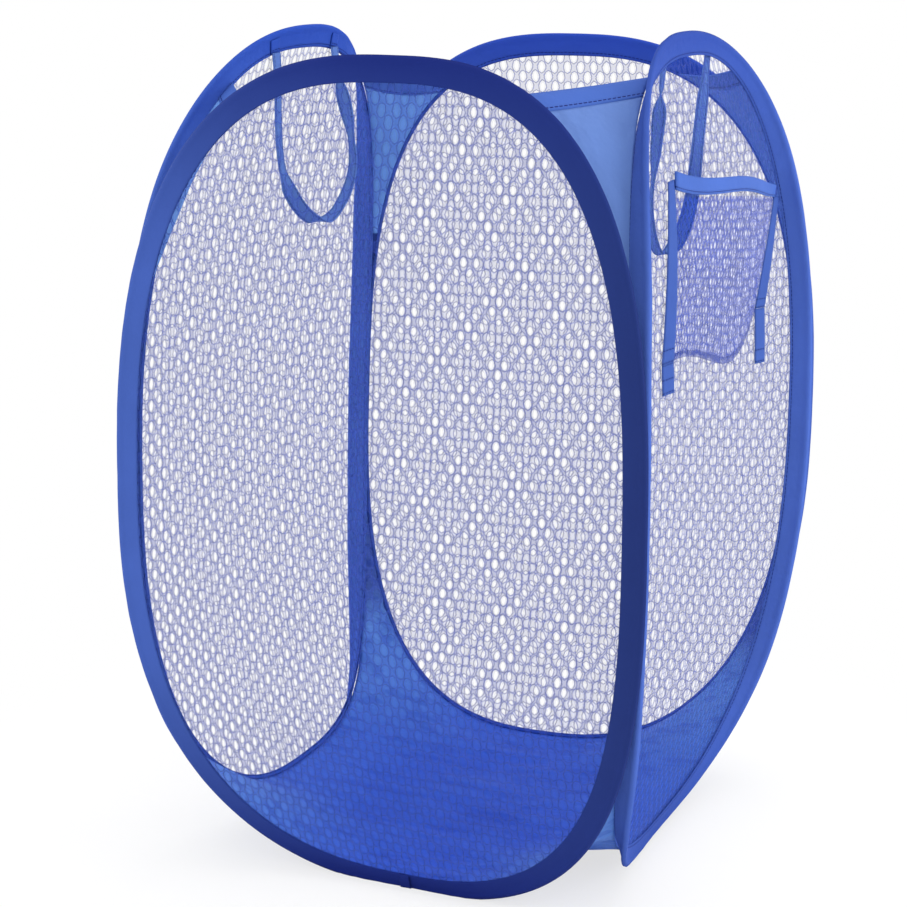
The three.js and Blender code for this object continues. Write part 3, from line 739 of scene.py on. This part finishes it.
def sailPoint(corner, height, across, up):
    first, second = cornerPair(corner["signs"], height)
    point = first.lerp(second, across)
    slack = math.sin(math.pi * across)
    point.z -= corner["sag"] * up * mm * slack
    seed = corner["high"] + corner["sag"]
    spot = (point.x, point.y, point.z * sail["flatten"])
    crease = corner["crease"] * ripple(spot, sail["creaseSize"], seed)
    bulge = corner["bulge"] * math.sin(math.pi * up)
    return point + outwardOf(corner["signs"]) * ((crease + bulge) * mm * slack)


for name, corner in corners.items():
    top = corner["high"] - sail["hem"]

    def placeSail(across, up, corner=corner, top=top):
        return sailPoint(corner, sail["low"] + (top - sail["low"]) * up, across, up)

    def placeHem(across, up, corner=corner, top=top):
        return sailPoint(corner, top - sail["lap"] + (sail["hem"] + sail["lap"]) * up, across, 1)

    bm = gridMesh(sail["columns"], sail["hemRows"], placeHem, (sail["wide"], sail["hem"] + sail["lap"]))
    hem = piece(f"gusset_hem_{name}", bm, hemFinish, replaces=[f"top_hem_{name}"])
    thicken(hem, sail["hemThickness"])
    bm = gridMesh(sail["columns"], sail["rows"], placeSail, (sail["wide"], sail["tall"]))
    made = piece(f"gusset_{name}", bm, nylonFinishes[name],
                 replaces=[f"top_gusset_{name}"])
    thicken(made, sail["thickness"])
print("gussets made")


bottom = {
    "reach": 130, "sideSteps": 44, "cornerSteps": 16, "rings": 44, "riseSteps": 34, "seam": 122,
    "centre": 8, "flat": 0.4, "dish": 1.5, "lowest": 1.5, "thickness": 0.4, "weld": 1.6,
    "crease": 1.3, "creaseSize": 20, "wave": 0.8, "waveSize": 60, "riseCrease": 0.8, "riseCreaseSize": 18,
    "around": 1250, "outwards": 180, "riseWide": 44, "riseTall": 56, "creaseShares": (0.4, 1.3), "fade": 9,
    "riseSlack": 1.4, "smoothings": 3, "smoothShare": 0.5,
}


def bottomEdge(net, across):
    point = seamSpot(net, across, -stitchHeight(net, across))
    point.z = max(point.z - net["drop"], bottom["lowest"])
    return point


cornerHeight = stitchHeight(faceNet, bottom["reach"])
edge = []  # the base's edge, round the foot of all four sides and across the corners
for k in range(4):
    net, after = (faceNet, sideNet) if k % 2 == 0 else (sideNet, faceNet)
    reach = stitchAcross(net, cornerHeight)
    spin = Matrix.Rotation(k * turn / 4, 3, "Z")
    shares = [2 * i / bottom["sideSteps"] - 1 for i in range(bottom["sideSteps"] + 1)]
    run = [bottomEdge(net, reach * share) for share in shares]
    follow = Matrix.Rotation(turn / 4, 3, "Z") @ bottomEdge(after, -stitchAcross(after, cornerHeight))
    run += [run[-1].lerp(follow, i / bottom["cornerSteps"]) for i in range(1, bottom["cornerSteps"])]
    edge += [spin @ point for point in run]


def placeBase(around, out):
    point = edge[round(around * len(edge)) % len(edge)]
    share = max(0.0, (out - bottom["flat"]) / (1 - bottom["flat"])) ** bottom["dish"]
    height = bottom["centre"] + (point.z - bottom["centre"]) * share
    spot = askew(Vector((point.x * out, point.y * out, height)))
    xShare, yShare = bottom["creaseShares"]
    creases = ripple((spot.x * xShare, spot.y * yShare, 0), bottom["creaseSize"], 2)
    waves = ripple(spot, bottom["waveSize"], 5) * bottom["wave"]
    spot.z += bottom["crease"] * mm * (creases + waves) * min(1, (1 - out) * bottom["fade"])
    spot.z = max(spot.z, bottom["lowest"] * mm)
    return spot


bm = gridMesh(len(edge), bottom["rings"], placeBase, (bottom["around"], bottom["outwards"]))
for corner in corners.values():
    def placeRise(across, up, signs=corner["signs"]):
        first, second = cornerPair(signs, -(cornerHeight + (bottom["seam"] - cornerHeight) * up))
        slack = math.sin(math.pi * across) * math.sin(math.pi * min(1, up * bottom["riseSlack"]))
        point = first.lerp(second, across)
        crease = bottom["riseCrease"] * ripple(point, bottom["riseCreaseSize"], 4)
        return point + outwardOf(signs) * (crease * mm * slack)

    size = (bottom["riseWide"], bottom["riseTall"])
    rise = gridMesh(bottom["cornerSteps"], bottom["riseSteps"], placeRise, size)
    mesh = bpy.data.meshes.new("rise")
    rise.to_mesh(mesh)
    rise.free()
    bm.from_mesh(mesh)
    bpy.data.meshes.remove(mesh)
bmesh.ops.remove_doubles(bm, verts=bm.verts, dist=bottom["weld"] * mm)
bmesh.ops.recalc_face_normals(bm, faces=bm.faces)
inner = [vert for vert in bm.verts if not vert.is_boundary]
for _ in range(bottom["smoothings"]):
    bmesh.ops.smooth_vert(bm, verts=inner, factor=bottom["smoothShare"],
                          use_axis_x=True, use_axis_y=True, use_axis_z=True)
made = piece("bottom_cloth", bm, baseFinish,
             replaces=["base_cloth"] + [f"bottom_gusset_{name}" for name in corners])
thicken(made, bottom["thickness"])
print("bottom cloth made")


strap = {
    "spacing": 98, "width": 11.6, "thickness": 1.1, "steps": 140, "across": 6, "set": 3.0, "knuckle": 1.0,
    "drop": {"right": 138, "left": 127}, "lean": {"right": 11, "left": 16},
    "bulge": {"right": (0, 0), "left": (16, -14)}, "bulgePower": 1.8, "sway": 1.2, "swayTurns": 1.5,
    "tabStart": 1.9, "tabLength": 10, "tabSet": 2.1, "tabSteps": 8, "tabThickness": 0.8,
}
strapTurns = {  # share of the webbing's length and its turn there, in degrees
    "right": ((0, 0), (0.05, 6), (0.11, 76), (0.17, 60), (0.25, 28), (0.4, 60), (0.5, 100), (0.58, 60),
              (0.7, 42), (0.82, 28), (0.9, 26), (0.95, 6), (1, 0)),
    "left": ((0, 0), (0.04, 4), (0.13, 100), (0.22, 50), (0.27, 56), (0.4, 76), (0.49, 98), (0.56, 60),
             (0.65, 50), (0.72, -6), (0.9, -6), (1, 0)),
}


def strapTurn(stops, share):
    for (start, low), (end, high) in zip(stops, stops[1:]):
        if share <= end:
            part = (share - start) / (end - start)
            return math.radians(low + (high - low) * part * part * (3 - 2 * part))
    return 0.0


def strapRoute(distance, drop):  # place in the loop's plane, across and down, and the heading there
    radius = strap["spacing"] / 2
    leg = drop - radius
    bend = math.pi * radius
    if distance < leg:
        return -radius, -distance, Vector((0, -1))
    if distance < leg + bend:
        angle = math.pi * (1 + (distance - leg) / bend)
        way = Vector((-math.sin(angle), math.cos(angle)))
        return radius * math.cos(angle), -leg + radius * math.sin(angle), way
    return radius, -(2 * leg + bend - distance), Vector((0, 1))


for name in ("right", "left"):
    net, heading = sides[name]
    drop = strap["drop"][name]
    strapLength = 2 * drop + (math.pi - 2) * strap["spacing"] / 2
    anchor = bandFrame(net, strap["spacing"] / 2, stitchHeight(net, strap["spacing"] / 2))
    pivot = onBand(anchor, strap["knuckle"], -strap["set"])

    def placeStrap(along, across, net=net, heading=heading, pivot=pivot, name=name, drop=drop,
                   length=strapLength):
        x, y, way = strapRoute(along * length, drop)
        turned = strapTurn(strapTurns[name], along)
        wide = Vector((-way.y, 0, way.x)) * math.cos(turned) + Vector((0, 1, 0)) * math.sin(turned)
        sway = strap["sway"] * math.sin(turn * along) * math.sin(turn * along * strap["swayTurns"])
        first, last = strap["bulge"][name]
        bulge = first + (last - first) * along
        depth = max(0, -y / drop)
        lean = strap["lean"][name] * -y / drop + bulge * math.sin(math.pi * depth ** strap["bulgePower"])
        point = Vector((x + sway, pivot.y + lean, pivot.z + y))
        return settled(net, heading, point + wide * ((across - 0.5) * strap["width"]))

    bm = gridMesh(strap["steps"], strap["across"], placeStrap, (strapLength, strap["width"]))
    made = piece(f"handle_strap_{name}", bm, webbingFinish, body=f"handle_{name}",
                 replaces=[f"handle_{name}"])
    thicken(made, strap["thickness"])
    strapLength * mm
    strap["width"] * mm
    for end, sign in (("a", -1), ("b", 1)):
        def placeTab(across, up, net=net, heading=heading, sign=sign):
            middle = sign * strap["spacing"] / 2 + (across - 0.5) * strap["width"]
            station = bandFrame(net, middle, stitchHeight(net, middle))
            reach = strap["tabStart"] + strap["tabLength"] * up
            return settled(net, heading, onBand(station, reach, -strap["tabSet"]))

        bm = gridMesh(strap["tabSteps"], strap["tabSteps"], placeTab, (strap["tabLength"], strap["width"]))
        tab = piece(f"strap_end_{name}_{end}", bm, bindingFinishes[name],
                    replaces=[f"handle_tab_{name}_{end}"])
        thicken(tab, strap["tabThickness"])
print("handles made")


pouch = {
    "topNear": (-80, 494), "topFar": (156, 471), "bottomFar": (88, 390), "bottomNear": (-116, 390),
    "width": 236, "height": 97, "proud": 1.4, "belly": 13, "sag": 28, "sagPower": 1.8,
    "crumple": 0.8, "crumpleSize": 16, "crumpleShares": (0.2, 0.06), "seed": 9.0, "edgeProud": 0.5,
    "columns": 60,
    "hem": 11, "hemRows": 8, "hemThickness": 1.3, "hemTip": 5, "hemTipFade": 9, "hemWave": 2.4,
    "borderShare": 0.04, "borderLap": 0.01, "borderProud": 0.6, "borderWidth": 8, "borderRows": 4,
    "borderThickness": 0.5,
    "pitch": 6.0, "step": 4.3, "waist": 0.6, "hole": (0.9, 1.7), "half": 0.3, "jitter": 0.6,
}
ribbon = {
    "width": 12, "slot": 14, "clear": 0.3, "gap": 0.2, "thickness": 0.7, "lift": 1.5, "tilt": 4,
    "length": 130, "across": 6, "steps": 40, "tailSteps": 16,
}
ribbonEnds = {
    "near": {"sign": -1, "low": "bottomNear", "high": "topNear", "over": 12, "tail": 20, "untwist": 2.0},
    "far": {"sign": 1, "low": "bottomFar", "high": "topFar", "over": 0, "tail": 42, "untwist": 1.2},
}
net, heading = sides["right"]


def pouchPoint(across, up, proud=0.0):
    low = Vector(pouch["bottomNear"]).lerp(Vector(pouch["bottomFar"]), across)
    high = Vector(pouch["topNear"]).lerp(Vector(pouch["topFar"]), across)
    place = low.lerp(high, up)
    along = min(max(across, 0), 1)
    place.y -= pouch["sag"] * math.sin(math.pi * along ** pouch["sagPower"]) * max(0, 1 - up)
    belly = pouch["belly"] * math.sin(math.pi * along) * min(max(up, 0), 1)
    return settled(net, heading, onNet(net, place.x, place.y - halfHeight, pouch["proud"] + belly + proud))


bm = latticeMesh(pouch["width"] / 2, pouch["height"] / 2,
                 lambda x, y: abs(x) < pouch["width"] / 2 and abs(y) < pouch["height"] / 2, pouch)
openMesh(bm, pouch, pouch["seed"])
for vert in bm.verts:
    across = min(max(vert.co.x / pouch["width"] + 0.5, 0), 1)
    up = min(max(vert.co.y / pouch["height"] + 0.5, 0), 1)
    xShare, yShare = pouch["crumpleShares"]
    crumple = pouch["crumple"] * ripple((across * xShare, up * yShare, 0), pouch["crumpleSize"], 8)
    vert.co = pouchPoint(across, up, vert.co.z + crumple * math.sin(math.pi * across) * up)
pouchCloth = piece("pocket_net", bm, pocketFinish, replaces=["pocket_mesh"],
                   weld=netting["weld"])


def placePouchHem(across, up):
    point = pouchPoint(across, 1 + up * pouch["hem"] / pouch["height"], pouch["edgeProud"])
    tip = pouch["hemTip"] * math.exp(-across * pouch["hemTipFade"])
    wave = pouch["hemWave"] * math.sin(math.pi * across) * math.cos(turn * across)
    point.z += mm * (tip - wave)
    return point


def placePouchBorder(across, up):
    return pouchPoint(across, up * pouch["borderShare"] - pouch["borderLap"], pouch["borderProud"])


bm = gridMesh(pouch["columns"], pouch["hemRows"], placePouchHem, (pouch["width"], pouch["hem"]))
pouchHem = piece("pocket_hem_cloth", bm, hemFinish, replaces=["pocket_hem"])
thicken(pouchHem, pouch["hemThickness"])
size = (pouch["width"], pouch["borderWidth"])
bm = gridMesh(pouch["columns"], pouch["borderRows"], placePouchBorder, size)
pouchBorder = piece("pocket_border_net", bm, pocketBorderFinish)
thicken(pouchBorder, pouch["borderThickness"])


def ribbonPoint(sign, place, across, turned):
    x = place.x + sign * (ribbon["clear"] + ribbon["slot"] / 2) + (across - 0.5) * ribbon["width"]
    return settled(net, heading, onNet(net, x, place.y - halfHeight, ribbon["lift"] + turned * across))


for name, end in ribbonEnds.items():
    low, high = Vector(pouch[end["low"]]), Vector(pouch[end["high"]])
    over = (high - low).normalized() * end["over"]

    def placeRibbon(across, up, end=end, low=low, high=high, over=over):
        turned = ribbon["tilt"] * (1 - up ** end["untwist"])
        return ribbonPoint(end["sign"], low.lerp(high + over, up), across, turned)

    def placeTail(across, up, end=end, low=low):
        place = low - Vector((0, ribbon["gap"] + end["tail"] * (1 - up)))
        return ribbonPoint(end["sign"], place, across, ribbon["tilt"])

    bm = gridMesh(ribbon["across"], ribbon["steps"], placeRibbon, (ribbon["width"], ribbon["length"]))
    made = piece(f"pocket_band_{name}", bm, ribbonFinish,
                 replaces=[f"pocket_ribbon_{name}"])
    thicken(made, ribbon["thickness"])
    bm = gridMesh(ribbon["across"], ribbon["tailSteps"], placeTail, (ribbon["width"], end["tail"]))
    made = piece(f"pocket_tail_{name}", bm, ribbonFinish, body=f"ribbon_tail_{name}",
                 replaces=[f"ribbon_tail_{name}"])
    thicken(made, ribbon["thickness"])
print("pocket made")


studio = {
    "floor": 8.0, "below": 0.0005, "paper": (0.9, 0.9, 0.9, 1), "roughness": 0.9, "white": (1, 1, 1, 1),
    "shade": 0.3, "near": 0.2, "reach": 0.5, "sky": 1.1, "aim": (0, 0, 0.3),
}
lamps = {
    "key": {"place": (2.3, 0.4, 0.9), "size": 1.2, "power": 24},
    "fill": {"place": (-2.2, -1.8, 1.2), "size": 1.8, "power": 16},
    "top": {"place": (0.2, 0.6, 2.6), "size": 1.6, "power": 8},
}

bm = bmesh.new()
bmesh.ops.create_grid(bm, x_segments=1, y_segments=1, size=studio["floor"])
mesh = bpy.data.meshes.new("floor")
bm.to_mesh(mesh)
bm.free()
floor = bpy.data.objects.new("floor", mesh)
bpy.context.scene.collection.objects.link(floor)
floor.location.z = -studio["below"]
paper = Finish("floor paper")  # white to the camera but near the hamper, where it takes some shade
paper.set(Base_Color=studio["paper"], Roughness=studio["roughness"], Specular_IOR_Level=0.0)
path = paper.node("ShaderNodeLightPath", {}, {})
glow = paper.node("ShaderNodeEmission", {}, {"Color": studio["white"], "Strength": 1.0})
paperSide = Signal(paper, paper.shader.outputs[0])
away = paper.node("ShaderNodeVectorMath", {"operation": "LENGTH"}, {0: paper.place()}).out("Value")
near = paper.node("ShaderNodeMapRange", {"interpolation_type": "SMOOTHSTEP"}, {
    "Value": away, "From Min": studio["near"], "From Max": studio["reach"],
    "To Min": studio["shade"], "To Max": 0.0,
})
share = path.out("Is Camera Ray") * (1.0 - near)
mixed = paper.node("ShaderNodeMixShader", {}, {0: share, 1: paperSide, 2: glow})
paper.tree.links.new(mixed.socket, paper.tree.nodes["Material Output"].inputs["Surface"])
mesh.materials.append(paper.material)

world = bpy.data.worlds.new("studio")
bpy.context.scene.world = world
world.use_nodes = True
tree = world.node_tree
background = tree.nodes["Background"]
background.inputs["Color"].default_value = studio["white"]
background.inputs["Strength"].default_value = studio["sky"]
white = tree.nodes.new("ShaderNodeBackground")
white.inputs["Color"].default_value = studio["white"]
rays = tree.nodes.new("ShaderNodeLightPath")
mixer = tree.nodes.new("ShaderNodeMixShader")
tree.links.new(rays.outputs["Is Camera Ray"], mixer.inputs[0])
tree.links.new(background.outputs[0], mixer.inputs[1])
tree.links.new(white.outputs[0], mixer.inputs[2])
tree.links.new(mixer.outputs[0], tree.nodes["World Output"].inputs["Surface"])


def lampAt(name, place, size, power):
    data = bpy.data.lights.new(name, "AREA")
    data.shape = "DISK"
    data.size = size
    data.energy = power
    made = bpy.data.objects.new(name, data)
    bpy.context.scene.collection.objects.link(made)
    away = Vector(place) - Vector(studio["aim"])
    made.matrix_world = Matrix.Translation(place) @ away.to_track_quat("Z", "Y").to_matrix().to_4x4()


for name, look in lamps.items():
    lampAt(name, look["place"], look["size"], look["power"])
bpy.context.scene.view_settings.view_transform = "Standard"
print("stage set")
